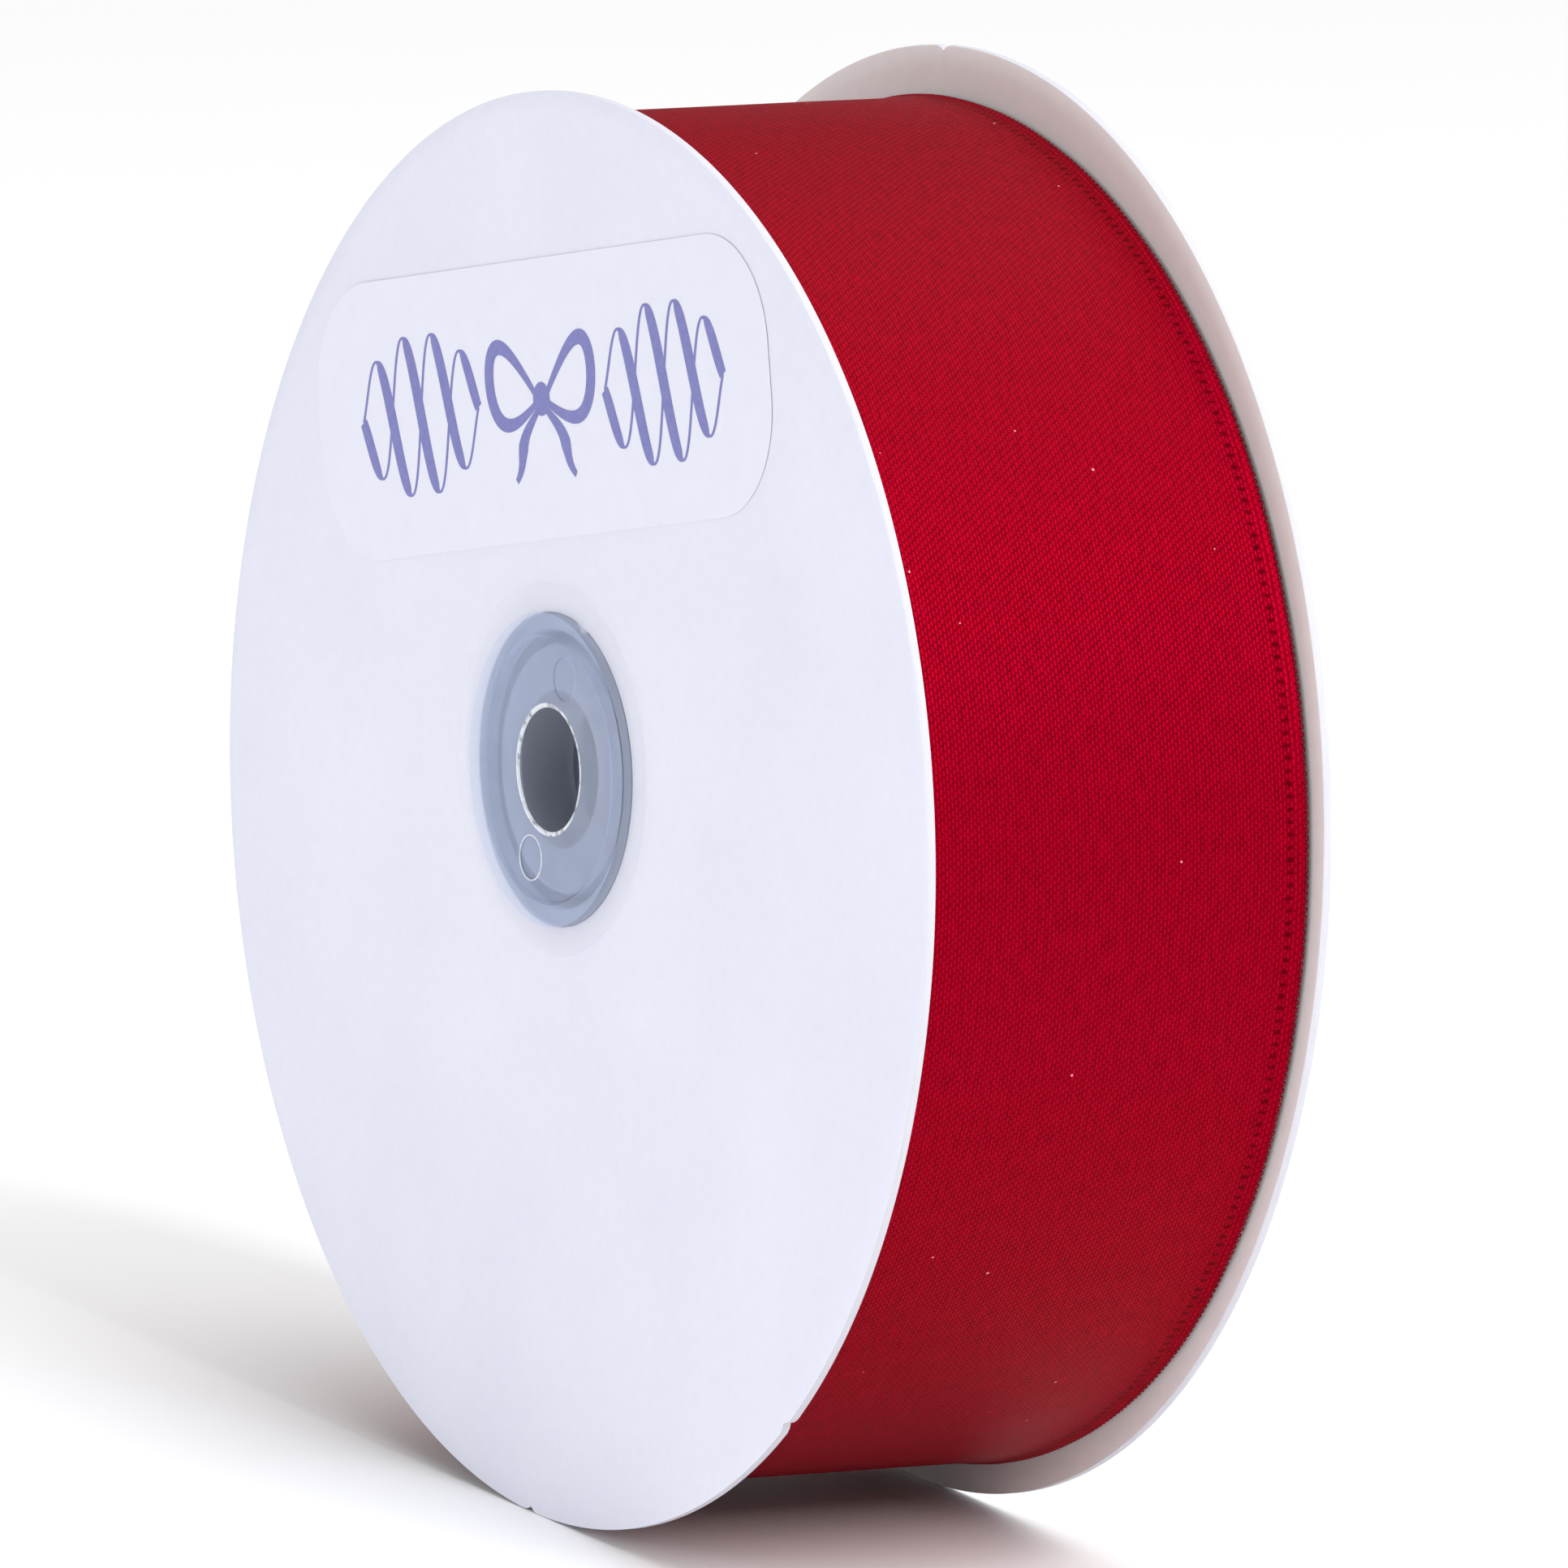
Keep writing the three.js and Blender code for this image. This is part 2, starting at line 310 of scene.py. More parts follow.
core_centre, core_radius, (core_near, core_far) = centre_of("core_tube")
core_wall = 1.5 * MM
round_off = 0.2 * MM
core_section = [
    (core_radius - core_wall, core_near + round_off),
    (core_radius - core_wall + round_off, core_near),
    (core_radius - round_off, core_near),
    (core_radius, core_near + round_off),
    (core_radius, core_far - round_off),
    (core_radius - round_off, core_far),
    (core_radius - core_wall + round_off, core_far),
    (core_radius - core_wall, core_far - round_off),
    (core_radius - core_wall, core_near + round_off),
]
core = turned("paper_core", core_section, core_centre)

# Chipboard made of recycled paper: rough, with darker fibres, and painted nearly black as painted shade for
# the dark inside of the tube, which is seen through the bore.
core_chipboard_painted_shade, tree, shader = material("grey_chipboard")
place = node(tree, "ShaderNodeTexCoord").outputs["Object"]
fibres = node(tree, "ShaderNodeTexNoise", {"Vector": place, "Scale": 700.0, "Detail": 5.0})
tint = node(tree, "ShaderNodeValToRGB", {"Fac": fibres.outputs["Fac"]})
tint.color_ramp.elements[0].color = linear("#1C1B1F")
tint.color_ramp.elements[1].color = linear("#323136")
relief = node(
    tree, "ShaderNodeBump", {"Height": fibres.outputs["Fac"], "Strength": 0.4, "Distance": 0.1 * MM},
)
tree.links.new(tint.outputs["Color"], shader.inputs["Base Color"])
tree.links.new(relief.outputs["Normal"], shader.inputs["Normal"])
shader.inputs["Roughness"].default_value = 0.9
core.data.materials.append(core_chipboard_painted_shade)
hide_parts("core_tube")
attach(core, "spool")


# --- Hubs ---------------------------------------------------------------------------------------
# Two bushes moulded in translucent polypropylene. Each has a thin outer ring that lies on the board,
# a web with the rod's bore, and a skirt whose bead snaps in behind the board. Two round marks on the
# web show where the ejector pins pushed it out of the mould.
def hub_bush(name, face, inwards):
    """A hub whose outer face is at y = face and whose skirt runs along inwards, +1 or -1 on Y. Its
    section's points are (radius, depth below the face) in millimetres."""
    section = [
        (5.5, 0.45), (5.6, 0.32), (5.9, 0.30), (11.5, 0.30), (11.6, 0.28), (11.85, 0.02), (11.95, -0.03),
        (12.05, 0.0), (13.9, 0.0), (15.9, 0.0), (16.2, 0.06), (16.42, 0.2), (16.5, 0.4), (16.5, 0.75),
        (16.35, 0.9), (13.9, 0.9), (12.75, 0.9), (12.42, 1.0), (12.3, 1.25), (12.3, 1.95), (14.1, 1.95),
        (14.3, 2.1), (14.2, 2.35),
        (12.3, 3.35), (12.3, 9.7), (12.15, 9.9), (11.4, 9.9), (11.25, 9.75), (11.2, 2.2), (11.0, 1.65),
        (10.5, 1.45), (7.0, 1.45), (6.6, 1.6), (6.4, 2.0), (6.4, 5.8), (6.2, 5.98), (5.7, 5.98),
        (5.5, 5.8), (5.5, 0.45),
    ]
    place = Vector((hub_centre.x, face, hub_centre.z))
    turned_section = [(r * MM, face + inwards * depth * MM) for r, depth in section]
    hub = turned(name, turned_section, place, steps=256)
    hub.data.materials.append(polypropylene)
    hub.data.materials.append(thin_polypropylene)
    hub.data.materials.append(painted_highlight_rim)
    pin_circle, pin_radius = 8.7, 1.95
    for angle in (13, 196):
        turn = math.radians(angle)
        reach = (pin_circle * math.sin(turn), inwards * 0.27, pin_circle * math.cos(turn))
        pin = place + Vector(reach) * MM
        bpy.ops.object.select_all(action="DESELECT")
        bpy.ops.mesh.primitive_cylinder_add(
            vertices=64, radius=pin_radius * MM, depth=0.3 * MM, location=pin, rotation=(math.pi / 2, 0, 0)
        )
        pin_end = shape("ejector_pin")
        finish(hub, "BOOLEAN", object=pin_end, operation="DIFFERENCE", solver="EXACT")
        bpy.data.objects.remove(pin_end)
        bpy.ops.object.select_all(action="DESELECT")
        bpy.ops.mesh.primitive_torus_add(
            major_segments=48, minor_segments=6, major_radius=(pin_radius + 0.05) * MM,
            minor_radius=0.07 * MM,
            location=pin + Vector((0, inwards * 0.03 * MM, 0)), rotation=(math.pi / 2, 0, 0),
        )
        # The flash ring is coloured with the painted highlight.
        flash = shape("flash_round_pin_mark")
        flash.data.materials.append(painted_highlight_rim)
        hub.select_set(True)
        bpy.context.view_layer.objects.active = hub
        bpy.ops.object.join()
    for face in hub.data.polygons:
        out = face.center - place
        reach, depth = math.hypot(out.x, out.z) / MM, out.y * inwards / MM
        if face.material_index == 0:
            face.material_index = int(reach > 13.95 or (reach < 6.8 and depth > 1.2))
            # The bore's rim gets the painted highlight.
            if reach < 5.8 and depth < 0.5:
                face.material_index = 2
    bpy.ops.object.shade_smooth_by_angle(angle=math.radians(30))
    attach(hub, "spool")
    return hub


# Natural polypropylene: milky, bluish and thin enough to see through, with a soft moulded gloss.
polypropylene, tree, shader = material("moulded_polypropylene")
place = node(tree, "ShaderNodeTexCoord").outputs["Object"]
flow = node(tree, "ShaderNodeTexNoise", {"Vector": place, "Scale": 260.0, "Detail": 3.0})
milk = node(tree, "ShaderNodeMapRange", {"Value": flow.outputs["Fac"], "To Min": 0.38, "To Max": 0.47})
relief = node(
    tree, "ShaderNodeBump", {"Height": flow.outputs["Fac"], "Strength": 0.15, "Distance": 0.06 * MM},
)
tree.links.new(milk.outputs["Result"], shader.inputs["Alpha"])
tree.links.new(relief.outputs["Normal"], shader.inputs["Normal"])
shader.inputs["Base Color"].default_value = linear("#C3D0EE")
shader.inputs["Roughness"].default_value = 0.3
shader.inputs["IOR"].default_value = 1.49

# The same plastic in the hub's thin outer ring and round its bore, where it is all but clear.
thin_polypropylene, tree, shader = material("thin_polypropylene")
place = node(tree, "ShaderNodeTexCoord").outputs["Object"]
flow = node(tree, "ShaderNodeTexNoise", {"Vector": place, "Scale": 260.0, "Detail": 3.0})
relief = node(
    tree, "ShaderNodeBump", {"Height": flow.outputs["Fac"], "Strength": 0.1, "Distance": 0.05 * MM},
)
tree.links.new(relief.outputs["Normal"], shader.inputs["Normal"])
shader.inputs["Base Color"].default_value = linear("#F0F1F7")
shader.inputs["Roughness"].default_value = 0.28
shader.inputs["IOR"].default_value = 1.49
shader.inputs["Alpha"].default_value = 0.1

# Painted highlight: thin flash and sharp rims of the same plastic, made paler and more opaque in patches to
# stand in for the bright lines that light draws along these edges.
painted_highlight_rim, tree, shader = material("polypropylene_painted_highlight")
place = node(tree, "ShaderNodeTexCoord").outputs["Object"]
patchy_highlight = node(tree, "ShaderNodeTexNoise", {"Vector": place, "Scale": 900.0, "Detail": 2.0})
white = node(tree, "ShaderNodeMapRange", {
    "Value": patchy_highlight.outputs["Fac"], "From Min": 0.28, "From Max": 0.5, "To Min": 0.2, "To Max": 0.95,
})
tree.links.new(white.outputs["Result"], shader.inputs["Alpha"])
shader.inputs["Base Color"].default_value = linear("#E9ECF3")
shader.inputs["Roughness"].default_value = 0.4

front_hub = hub_bush("front_bush", front_hub_face, 1)
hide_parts("front_hub")
back_hub = hub_bush("back_bush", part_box("back_hub")[1].y, -1)
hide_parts("back_hub")


# --- Wound ribbon -------------------------------------------------------------------------------
# Some forty metres of 38 mm double-face satin, wound edge on edge. All turns but the last show only
# as the stack of their selvedges on the roll's two sides, and as satin where the free end is lifted.
ribbon_centre, rolled_radius, (ribbon_near, ribbon_far) = centre_of("ribbon_roll")
outer_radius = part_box("ribbon_outer_turn")[1].x - ribbon_centre.x
ribbon_thickness = 0.24 * MM
roll_inside = core_radius + 0.32 * MM
turns = round((rolled_radius - roll_inside) / ribbon_thickness)
tail_length = 40 * MM
hinge_angle = math.radians(278)
free_end = hinge_angle - tail_length / outer_radius


def stacked_edges(edge_y, inwards):
    """The roll's side: each turn's edge is a rounded ridge, and no two lie quite level."""
    side = []
    for i in range(turns):
        radius = roll_inside + (i + 0.5) * (rolled_radius - roll_inside) / turns
        uneven = 0.12 * MM * (1 + noise.noise(Vector((i * 0.37, inwards * 5, 0))))
        side.append((radius - 0.4 * ribbon_thickness, edge_y + inwards * (uneven + 0.09 * MM)))
        side.append((radius, edge_y + inwards * uneven))
    return side


def slack(out):
    """How far the outermost turns stand off a true circle: the soft roll has sprung a little at its
    upper left and underneath."""
    angle = math.degrees(math.atan2(out.x, out.z))
    top = 2.9 * math.exp(-((math.remainder(angle + 30, 360) / 33) ** 2))
    bottom = 2.6 * math.exp(-((math.remainder(angle - 200, 360) / 27) ** 2))
    return (top + bottom) * MM


def sprung(out):
    """How a point has moved out with the slack: fully on the last turn, and not at all on the core."""
    flat = Vector((out.x, 0, out.z))
    share = (flat.length - roll_inside) / (rolled_radius - roll_inside)
    return flat.normalized() * slack(out) * share ** 2


near_side = stacked_edges(ribbon_near, 1)
far_side = stacked_edges(ribbon_far, -1)
roll_section = near_side + [
    (rolled_radius, ribbon_near + 0.2 * MM),
    (rolled_radius, ribbon_far - 0.2 * MM),
] + far_side[::-1] + near_side[:1]
wound = turned("wound_turns", roll_section, ribbon_centre, steps=144)
for vertex in wound.data.vertices:
    vertex.co += sprung(vertex.co - ribbon_centre)


def from_free_end(out, start):
    """How far round the roll a point lies from the ribbon's free end, on a strip that begins at start."""
    return (math.atan2(out.x, out.z) - start + 0.002) % (2 * math.pi) - 0.002 + start - free_end


def lay_uv(strip, start):
    """Maps a strip in millimetres: U runs along the ribbon from its free end, V across its width."""
    layer = strip.data.uv_layers.new(name="along_and_across")
    for loop in strip.data.loops:
        out = strip.data.vertices[loop.vertex_index].co - ribbon_centre
        along = from_free_end(out, start) * rolled_radius / MM
        layer.data[loop.index].uv = (along, (out.y + ribbon_centre.y - ribbon_near) / MM)


# Double-face polyester satin. The warp floats over several wefts, so the face is a field of fine
# lengthwise dashes, each row shifted by two fifths of a float and none of them quite straight. They are
# drawn 0.36 mm from row to row, coarser than the real yarn, so that they show. The sheen is the dye's own
# red. A row of pits runs along each selvedge.
red_satin, tree, shader = material("double_face_red_satin")
laid_flat = node(tree, "ShaderNodeUVMap", uv_map="along_and_across").outputs["UV"]
sway = node(tree, "ShaderNodeTexNoise", {"Vector": laid_flat, "Scale": 0.9, "Detail": 3.0})
swayed = node(
    tree, "ShaderNodeVectorMath", {0: sway.outputs["Color"], 1: (0.55, 0.2, 0.0)}, operation="MULTIPLY",
)
mapped = node(tree, "ShaderNodeVectorMath", {0: laid_flat, 1: swayed.outputs[0]}, operation="ADD")
split = node(tree, "ShaderNodeSeparateXYZ", {"Vector": mapped.outputs[0]})
along, across = split.outputs["X"], split.outputs["Y"]
rows = node(tree, "ShaderNodeMath", {0: across, 1: 0.36}, operation="DIVIDE")
row = node(tree, "ShaderNodeMath", {0: rows.outputs[0]}, operation="FLOOR")
shift = node(tree, "ShaderNodeMath", {0: row.outputs[0], 1: 0.4}, operation="MULTIPLY")
floats = node(
    tree, "ShaderNodeMath", {0: along, 1: 1 / 0.66, 2: shift.outputs[0]}, operation="MULTIPLY_ADD",
)
crown = node(tree, "ShaderNodeMath", {0: rows.outputs[0], 1: 0.5}, operation="PINGPONG")
dive = node(tree, "ShaderNodeMath", {0: floats.outputs[0], 1: 0.5}, operation="PINGPONG")
arch = node(
    tree, "ShaderNodeMapRange", {"Value": crown.outputs[0], "From Max": 0.45, "To Min": 0.25},
    interpolation_type="SMOOTHSTEP",
)
rise = node(
    tree, "ShaderNodeMapRange", {"Value": dive.outputs[0], "From Max": 0.3, "To Min": 0.2},
    interpolation_type="SMOOTHSTEP",
)
yarn = node(
    tree, "ShaderNodeMath", {0: rise.outputs["Result"], 1: arch.outputs["Result"]}, operation="MULTIPLY",
)
near_pits = node(tree, "ShaderNodeMath", {0: along, 1: 0.42}, operation="PINGPONG")
near_open = node(tree, "ShaderNodeMath", {0: near_pits.outputs[0], 1: 0.15}, operation="LESS_THAN")
near_line = node(tree, "ShaderNodeMath", {0: across, 1: 0.7, 2: 0.25}, operation="COMPARE")
near_row = node(
    tree, "ShaderNodeMath", {0: near_open.outputs[0], 1: near_line.outputs[0]}, operation="MULTIPLY",
)
far_pits = node(tree, "ShaderNodeMath", {0: along, 1: 0.55}, operation="PINGPONG")
far_open = node(
    tree, "ShaderNodeMapRange", {"Value": far_pits.outputs[0], "From Min": 0.3, "From Max": 0.06},
    interpolation_type="SMOOTHSTEP",
)
far_line = node(tree, "ShaderNodeMath", {0: across, 1: 36.7, 2: 0.3}, operation="COMPARE")
far_row = node(
    tree, "ShaderNodeMath", {0: far_open.outputs[0], 1: far_line.outputs[0]}, operation="MULTIPLY",
)
pits = node(tree, "ShaderNodeMath", {0: near_row.outputs[0], 1: far_row.outputs[0]}, operation="ADD")
weave = node(tree, "ShaderNodeMix", {"Factor": pits.outputs[0], "A": yarn.outputs[0], "B": -0.15})
slub = node(tree, "ShaderNodeMapping", {"Vector": laid_flat, "Scale": (0.5, 2.4, 1.0)})
uneven = node(
    tree, "ShaderNodeTexNoise", {"Vector": slub.outputs["Vector"], "Scale": 1.0, "Detail": 5.0},
)
depth = node(
    tree, "ShaderNodeMix", {"Factor": 0.5, "A": weave.outputs["Result"], "B": uneven.outputs["Fac"]},
)
dye = node(tree, "ShaderNodeValToRGB", {"Fac": depth.outputs["Result"]})
dye.color_ramp.elements[0].position, dye.color_ramp.elements[1].position = 0.15, 0.85
dye.color_ramp.elements[0].color = linear("#58000E")
dye.color_ramp.elements[1].color = linear("#A60220")
place = node(tree, "ShaderNodeTexCoord").outputs["Object"]
motes = node(tree, "ShaderNodeTexVoronoi", {"Vector": place, "Scale": 230.0})
mote = node(tree, "ShaderNodeMath", {0: motes.outputs["Distance"], 1: 0.03}, operation="LESS_THAN")
dusted = node(tree, "ShaderNodeMix", {"Factor": mote.outputs[0]}, data_type="RGBA")
tree.links.new(dye.outputs["Color"], dusted.inputs["A"])
dusted.inputs["B"].default_value = linear("#D98A90")
relief = node(
    tree, "ShaderNodeBump", {"Height": weave.outputs["Result"], "Strength": 0.4, "Distance": 0.07 * MM},
)
warp = node(tree, "ShaderNodeTangent", direction_type="UV_MAP", uv_map="along_and_across")
tree.links.new(dusted.outputs["Result"], shader.inputs["Base Color"])
tree.links.new(relief.outputs["Normal"], shader.inputs["Normal"])
tree.links.new(warp.outputs["Tangent"], shader.inputs["Tangent"])
shader.inputs["Metallic"].default_value = 0.4
shader.inputs["Roughness"].default_value = 0.42
shader.inputs["Anisotropic"].default_value = 0.55
shader.inputs["Specular IOR Level"].default_value = 0.06
shader.inputs["Specular Tint"].default_value = linear("#B8203A")

# The stacked selvedges: the same dye, dull and a little darker, mottled with fine fuzz.
edge_stack, tree, shader = material("stacked_selvedges")
place = node(tree, "ShaderNodeTexCoord").outputs["Object"]
fuzz = node(tree, "ShaderNodeTexNoise", {"Vector": place, "Scale": 1600.0, "Detail": 4.0})
dye = node(tree, "ShaderNodeValToRGB", {"Fac": fuzz.outputs["Fac"]})
dye.color_ramp.elements[0].color = linear("#5E0014")
dye.color_ramp.elements[1].color = linear("#8E0A22")
tree.links.new(dye.outputs["Color"], shader.inputs["Base Color"])
shader.inputs["Roughness"].default_value = 0.8

lay_uv(wound, free_end)
wound.data.materials.append(edge_stack)
wound.data.materials.append(red_satin)
for face in wound.data.polygons:
    out = face.center - ribbon_centre
    face.material_index = int(abs(face.normal.y) < 0.3 and math.hypot(out.x, out.z) > rolled_radius * 0.99)
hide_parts("ribbon_roll")
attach(wound, "spool")


# --- Last turn and free end ---------------------------------------------------------------------
# The ribbon's last turn is what is seen: a satin face between two firm selvedges, whose weft threads
# turn back in small loops. It winds inwards by its own thickness and runs on under the free end, which
# is cut square.
bead = [(0.0, 0.0), (0.12, 0.07), (0.32, 0.1), (0.52, 0.07), (0.72, -0.02), (1.0, -0.03), (1.5, 0.0)]
flat_face = [(d, 0.0) for d in (3.0, 5.0, 8.0, 12.0, 16.0, 19.05)]


def ribbon_section():
    """Across the width: a bead on each selvedge, and the far edge standing a little proud."""
    half = bead + flat_face
    near = [(outer_radius + rise * MM, ribbon_near + d * MM) for d, rise in half]
    far = []
    for d, rise in half[-2::-1]:
        lift = 0.22 * max(0.0, 1 - d / 4.0) ** 2
        far.append((outer_radius + (rise + lift) * MM, ribbon_far - d * MM))
    return near + far


def ribbon_strip(name, start, sweep):
    """A length of the last turn, from one angle round the roll to another."""
    strip = turned(name, ribbon_section(), ribbon_centre, round(math.degrees(sweep) / 0.75), start, sweep)
    if strip.data.polygons[0].normal.dot(strip.data.polygons[0].center - ribbon_centre) < 0:
        strip.data.flip_normals()
    finish(strip, "SOLIDIFY", thickness=ribbon_thickness, offset=-1)
    loop_spacing = 0.7 * MM
    loops = round(sweep * outer_radius / loop_spacing)
    for edge, lift in ((ribbon_near - 0.02 * MM, 0.0), (ribbon_far + 0.02 * MM, 0.22 * MM)):
        middle = outer_radius + lift - ribbon_thickness / 2
        first = start + 0.5 * sweep / loops
        out = Vector((math.sin(first), 0, math.cos(first)))
        bpy.ops.object.select_all(action="DESELECT")
        bpy.ops.mesh.primitive_torus_add(
            major_segments=8, minor_segments=4, major_radius=0.24 * MM, minor_radius=0.07 * MM,
            location=(ribbon_centre.x + middle * out.x, edge, ribbon_centre.z + middle * out.z),
            rotation=out.to_track_quat("Z", "Y").to_euler(),
        )
        bpy.ops.object.mode_set(mode="EDIT")
        bpy.ops.mesh.spin(
            steps=loops - 1, angle=-sweep * (loops - 1) / loops, dupli=True,
            center=ribbon_centre, axis=(0, 1, 0),
        )
        shape("weft_loops")
        strip.select_set(True)
        bpy.context.view_layer.objects.active = strip
        bpy.ops.object.join()
    for vertex in strip.data.vertices:
        out = vertex.co - ribbon_centre
        along = from_free_end(out, start)
        ripple = 0.06 * MM * noise.noise(Vector((math.sin(along) * 9, math.cos(along) * 9, out.y * 90)))
        drop = 1.05 * ribbon_thickness * along / (2 * math.pi) - ripple - slack(out)
        flat = Vector((out.x, 0, out.z))
        vertex.co -= flat.normalized() * drop
    lay_uv(strip, start)
    strip.data.materials.append(red_satin)
    bpy.ops.object.select_all(action="DESELECT")
    strip.select_set(True)
    bpy.context.view_layer.objects.active = strip
    bpy.ops.object.shade_smooth_by_angle(angle=math.radians(40))
    return strip


tail_sweep = hinge_angle - free_end
turn_sweep = 2 * math.pi - math.radians(1)
last_turn = ribbon_strip("last_turn", hinge_angle, turn_sweep)
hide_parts("ribbon_outer_turn")
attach(last_turn, "spool")

tail = ribbon_strip("free_end", free_end, tail_sweep)
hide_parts("ribbon_tail")


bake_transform(tail)


# --- Tapes --------------------------------------------------------------------------------------
# Two short strips of clear tape, torn off against a toothed blade: one holds the free end down and is
# attached to the ribbon end's body, and one fixes the ribbon's start to the core.
clear_tape, tree, shader = material("clear_polypropylene_tape")
place = node(tree, "ShaderNodeTexCoord").outputs["Object"]
glue = node(tree, "ShaderNodeTexNoise", {"Vector": place, "Scale": 500.0, "Detail": 3.0})
relief = node(
    tree, "ShaderNodeBump", {"Height": glue.outputs["Fac"], "Strength": 0.2, "Distance": 0.03 * MM},
)
tree.links.new(relief.outputs["Normal"], shader.inputs["Normal"])
shader.inputs["Base Color"].default_value = linear("#5A5B5E")
shader.inputs["Roughness"].default_value = 0.12
shader.inputs["IOR"].default_value = 1.48
shader.inputs["Alpha"].default_value = 0.12


def torn_tape(name, radius, width, start, sweep, body, cad_node):
    """A strip of tape round the spool's axis at a radius, with toothed ends."""
    teeth, tooth_depth = 12, 0.35 * MM
    section = [(radius, (i / (2 * teeth) - 0.5) * width + ribbon_centre.y) for i in range(2 * teeth + 1)]
    tape = turned(name, section, ribbon_centre, 24, start, sweep)
    for vertex in tape.data.vertices:
        out = vertex.co - ribbon_centre
        along = (math.atan2(out.x, out.z) - start) % (2 * math.pi)
        column = round((out.y / width + 0.5) * 2 * teeth)
        at_start = min(along, 2 * math.pi - along) < 1e-4
        at_end = abs(along - sweep) < 1e-4
        if (at_start or at_end) and column % 2:
            tangent = Vector((math.cos(start + along), 0, -math.sin(start + along)))
            inwards = 1 if at_start else -1
            vertex.co += tangent * inwards * tooth_depth
        vertex.co += sprung(out)
    finish(tape, "SOLIDIFY", thickness=0.05 * MM, offset=0)
    tape.data.materials.append(clear_tape)
    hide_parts(cad_node)
    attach(tape, body)
    return tape


tape_radius = outer_radius + 0.2 * MM
tape_width, tape_length, tape_hold = 12 * MM, 18 * MM, 8 * MM
tape_start = free_end - tape_hold / outer_radius
torn_tape(
    "end_tape", tape_radius, tape_width, tape_start, tape_length / tape_radius, "ribbon_end", "tail_tape"
)
start_width, start_length = 19 * MM, 25 * MM
start_sweep = start_length / core_radius
torn_tape(
    "start_of_ribbon_tape", core_radius + 0.16 * MM, start_width,
    math.pi / 2 - start_sweep / 2, start_sweep, "spool", "start_tape",
)


# --- Sticker ------------------------------------------------------------------------------------
# A round-cornered sticker of white film on the front board, turned with the spool as it rolled. It is
# printed in violet-blue with a plain ornament: a ribbon bow between two running waves.
sticker_height, sticker_corner, sticker_tilt = 24.8 * MM, 10 * MM, math.radians(14)
sticker_low, sticker_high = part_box("product_label")
sticker_middle = (sticker_low + sticker_high) / 2
spread = sticker_high.x - sticker_low.x - 2 * sticker_corner
slant = (sticker_height - 2 * sticker_corner) * math.sin(sticker_tilt)
straight = (spread - slant) / math.cos(sticker_tilt)
sticker_width = straight + 2 * sticker_corner
film_rise, print_rise = 0.075 * MM, 0.112 * MM
board_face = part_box("front_flange")[0].y
upright = Matrix.Rotation(-sticker_tilt, 4, "Y") @ Matrix.Rotation(math.pi / 2, 4, "X")


def on_sticker(proud):
    """Where the sticker's own flat X and Y lie on the board, a little proud of its face."""
    return Matrix.Translation((sticker_middle.x, board_face - proud, sticker_middle.z)) @ upright


bpy.ops.object.select_all(action="DESELECT")
bpy.ops.mesh.primitive_plane_add(size=1)
bpy.ops.object.mode_set(mode="EDIT")
bpy.ops.transform.resize(value=(sticker_width, sticker_height, 1))
bpy.ops.mesh.bevel(offset=sticker_corner, segments=20, affect="VERTICES")
film = shape("sticker_film")
finish(film, "SOLIDIFY", thickness=0.05 * MM, offset=0)
finish(film, "BEVEL", width=0.015 * MM, segments=2, limit_method="ANGLE")
film.data.transform(on_sticker(film_rise))

# White vinyl film: smoother than the board round it, and of almost the same white.
vinyl, tree, shader = material("white_vinyl_film")
place = node(tree, "ShaderNodeTexCoord").outputs["Object"]
peel = node(tree, "ShaderNodeTexNoise", {"Vector": place, "Scale": 420.0, "Detail": 2.0})
tint = node(tree, "ShaderNodeValToRGB", {"Fac": peel.outputs["Fac"]})
tint.color_ramp.elements[0].color = linear("#E6E7F5")
tint.color_ramp.elements[1].color = linear("#ECEDFA")
relief = node(
    tree, "ShaderNodeBump", {"Height": peel.outputs["Fac"], "Strength": 0.1, "Distance": 0.04 * MM},
)
tree.links.new(tint.outputs["Color"], shader.inputs["Base Color"])
tree.links.new(relief.outputs["Normal"], shader.inputs["Normal"])
shader.inputs["Roughness"].default_value = 0.3
film.data.materials.append(vinyl)
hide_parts("product_label")
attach(film, "spool")

# Violet-blue screen ink, laid on flat and nearly matt, with a little pinholing.
ink, tree, shader = material("violet_blue_ink")
place = node(tree, "ShaderNodeTexCoord").outputs["Object"]
pinholes = node(tree, "ShaderNodeTexNoise", {"Vector": place, "Scale": 1500.0, "Detail": 2.0})
tint = node(tree, "ShaderNodeValToRGB", {"Fac": pinholes.outputs["Fac"]})
tint.color_ramp.elements[0].color = linear("#7272B6")
tint.color_ramp.elements[1].color = linear("#8686C4")
tree.links.new(tint.outputs["Color"], shader.inputs["Base Color"])
shader.inputs["Roughness"].default_value = 0.5


coat_depth = 0.002 * MM


def stroke(route, widths, coat):
    """A flat printed stroke along points in millimetres, as wide as widths says at each of them. Each
    stroke lies a hair above the one before, as coats of ink do."""
    bpy.ops.object.select_all(action="DESELECT")
    bpy.ops.mesh.primitive_grid_add(x_subdivisions=len(route) - 1, y_subdivisions=1, size=1)
    made = bpy.context.object
    for vertex in made.data.vertices:
        i = round((vertex.co.x + 0.5) * (len(route) - 1))
        side = 1 if vertex.co.y > 0 else -1
        before, after = Vector(route[max(i - 1, 0)]), Vector(route[min(i + 1, len(route) - 1)])
        along = (after - before).normalized()
        middle = Vector(route[i]) + Vector((-along.y, along.x)) * side * widths[i] / 2
        vertex.co = (middle.x * MM, middle.y * MM, coat * coat_depth)
    return made


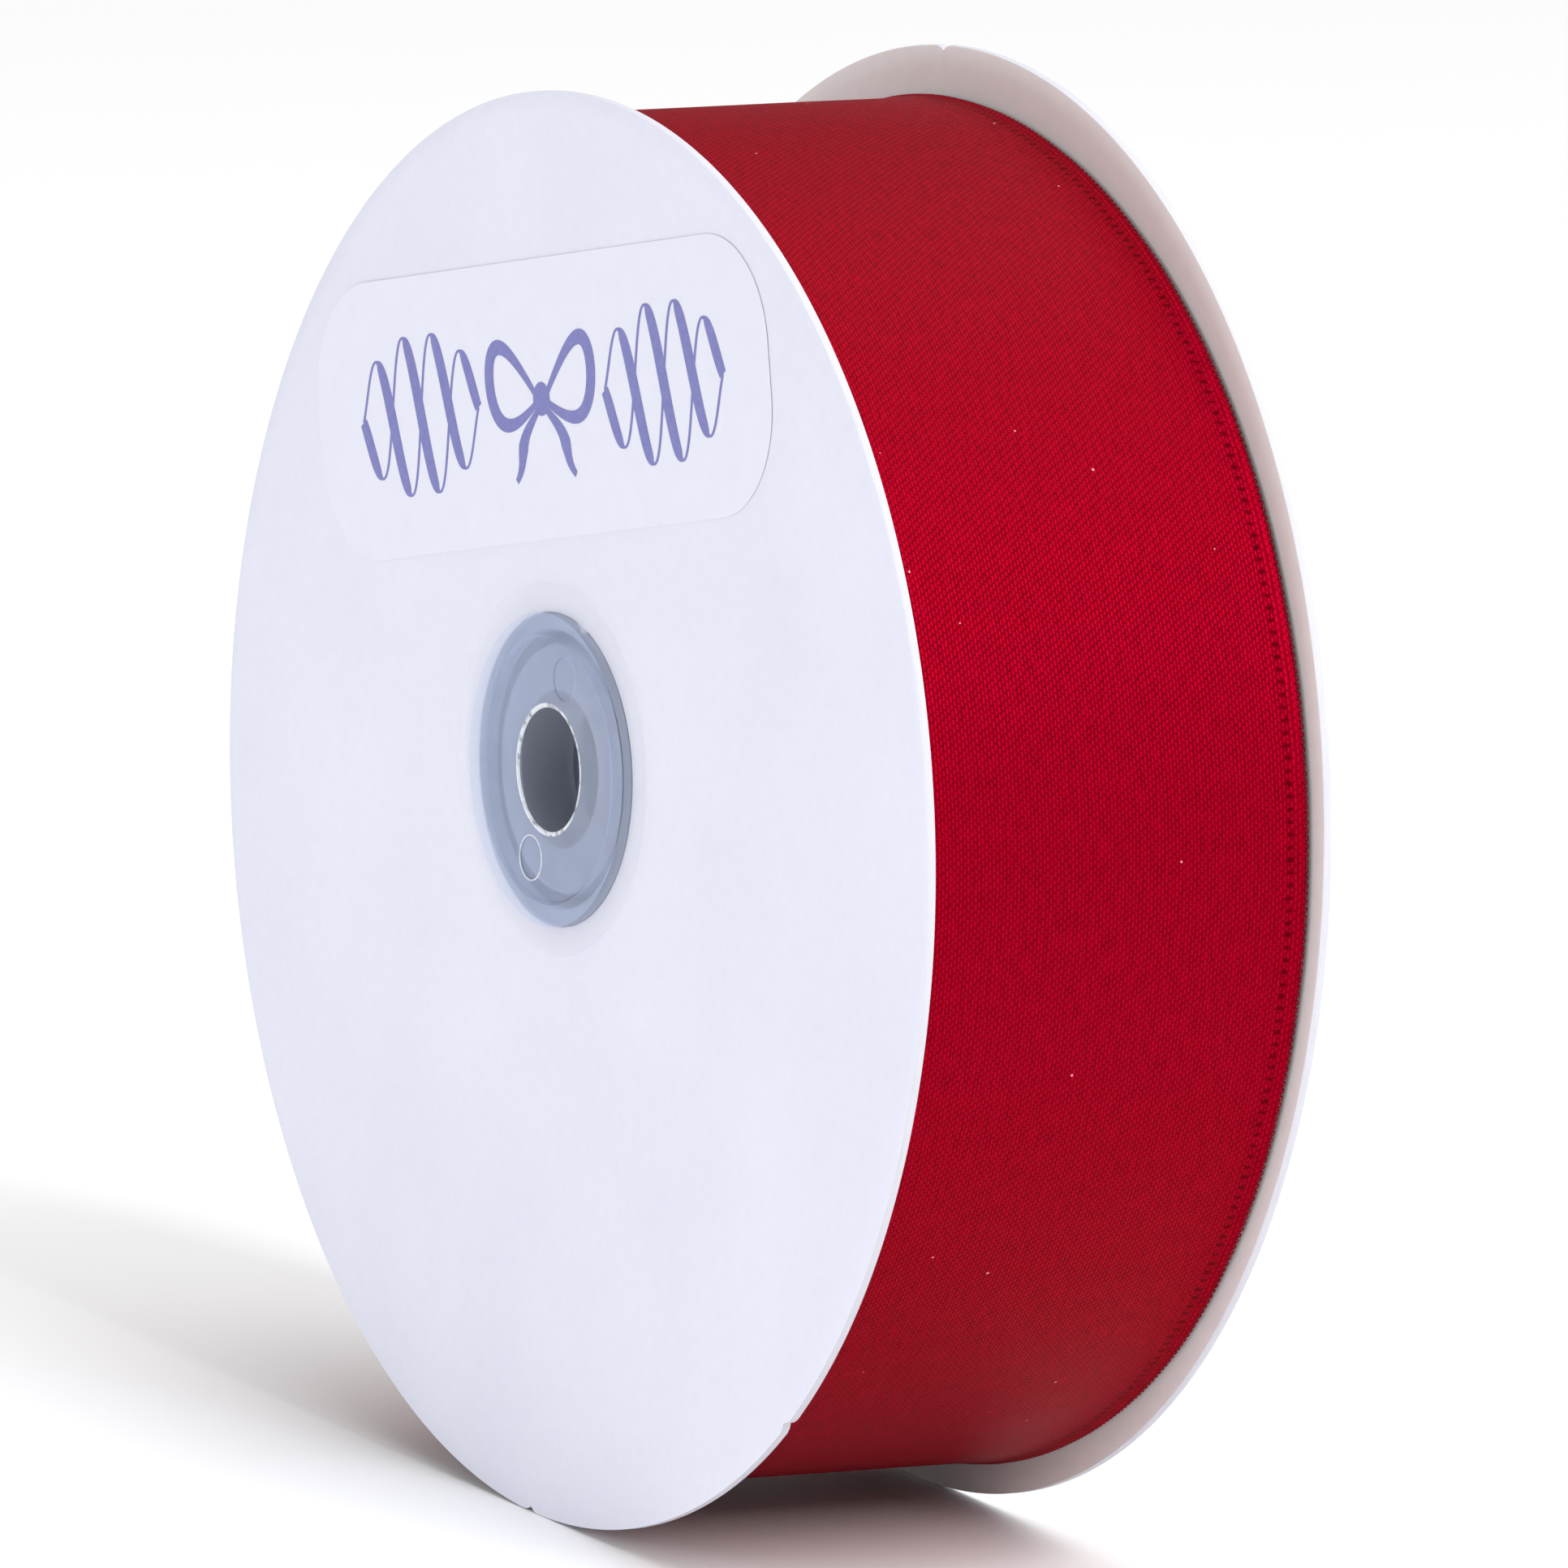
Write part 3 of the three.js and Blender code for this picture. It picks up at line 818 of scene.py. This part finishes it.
def pen(route, heavy, fine):
    """Stroke widths as a broad pen gives them: heavy coming down, fine going up and across."""
    widths = []
    for i in range(len(route)):
        before, after = Vector(route[max(i - 1, 0)]), Vector(route[min(i + 1, len(route) - 1)])
        along = (after - before).normalized()
        steep = abs(along.y) ** 3
        widths.append(fine + (heavy - fine) * steep * (0.1 + 0.9 * (along.x * along.y < 0)))
    return widths


def wave(side, flip):
    """A running wave beside the bow that swells and dies away, in millimetres on the sticker."""
    route = []
    for i in range(121):
        t = i / 120
        swell = 7.2 * math.sin(math.pi * (0.04 + 0.92 * t)) ** 0.45
        route.append((side * (11.6 + 21.4 * t), flip * swell * math.sin(2 * math.pi * 2 * t)))
    return route


def bow_loop(side):
    """One loop of the bow, from the knot out and back."""
    route = []
    for i in range(73):
        t = 2 * math.pi * i / 72
        reach = 8.4 * (1 - math.cos(t)) / 2
        route.append((side * (0.9 + reach), 4.8 * math.sin(t) * (0.25 + 0.75 * reach / 8.4) + 0.26 * reach))
    return route


def bow_tail(side):
    """A hanging end of the bow."""
    route = []
    for i in range(31):
        t = i / 30
        route.append((side * (0.6 + 5.6 * t + 0.8 * math.sin(5 * t)), -0.8 - 6.2 * t ** 0.9))
    return route


strokes = []
for side in (-1, 1):
    for flip in (-1, 1):
        route = wave(side, flip)
        strokes.append(stroke(route, pen(route, 1.75, 0.25), len(strokes)))
    route = bow_tail(side)
    strokes.append(stroke(route, [1.7 - 1.1 * abs(i / 15 - 1) for i in range(31)], len(strokes)))
    route = bow_loop(side)
    widths = [0.6 + 1.0 * math.sin(math.pi * i / 72) ** 2 for i in range(73)]
    strokes.append(stroke(route, widths, len(strokes)))
bpy.ops.object.select_all(action="DESELECT")
bpy.ops.mesh.primitive_circle_add(
    vertices=48, radius=1.5 * MM, fill_type="NGON", location=(0, 0, len(strokes) * coat_depth)
)
strokes.append(bpy.context.object)
for piece in strokes:
    piece.select_set(True)
bpy.ops.object.join()
print_layer = shape("sticker_print")
bpy.ops.object.mode_set(mode="EDIT")
bpy.ops.mesh.select_all(action="SELECT")
bpy.ops.mesh.normals_make_consistent(inside=False)
bpy.ops.object.mode_set(mode="OBJECT")
for face in print_layer.data.polygons:
    if face.normal.z < 0:
        face.flip()
finish(print_layer, "SOLIDIFY", thickness=0.012 * MM, offset=0)
print_layer.data.transform(on_sticker(print_rise))
print_layer.data.materials.append(ink)
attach(print_layer, "spool")
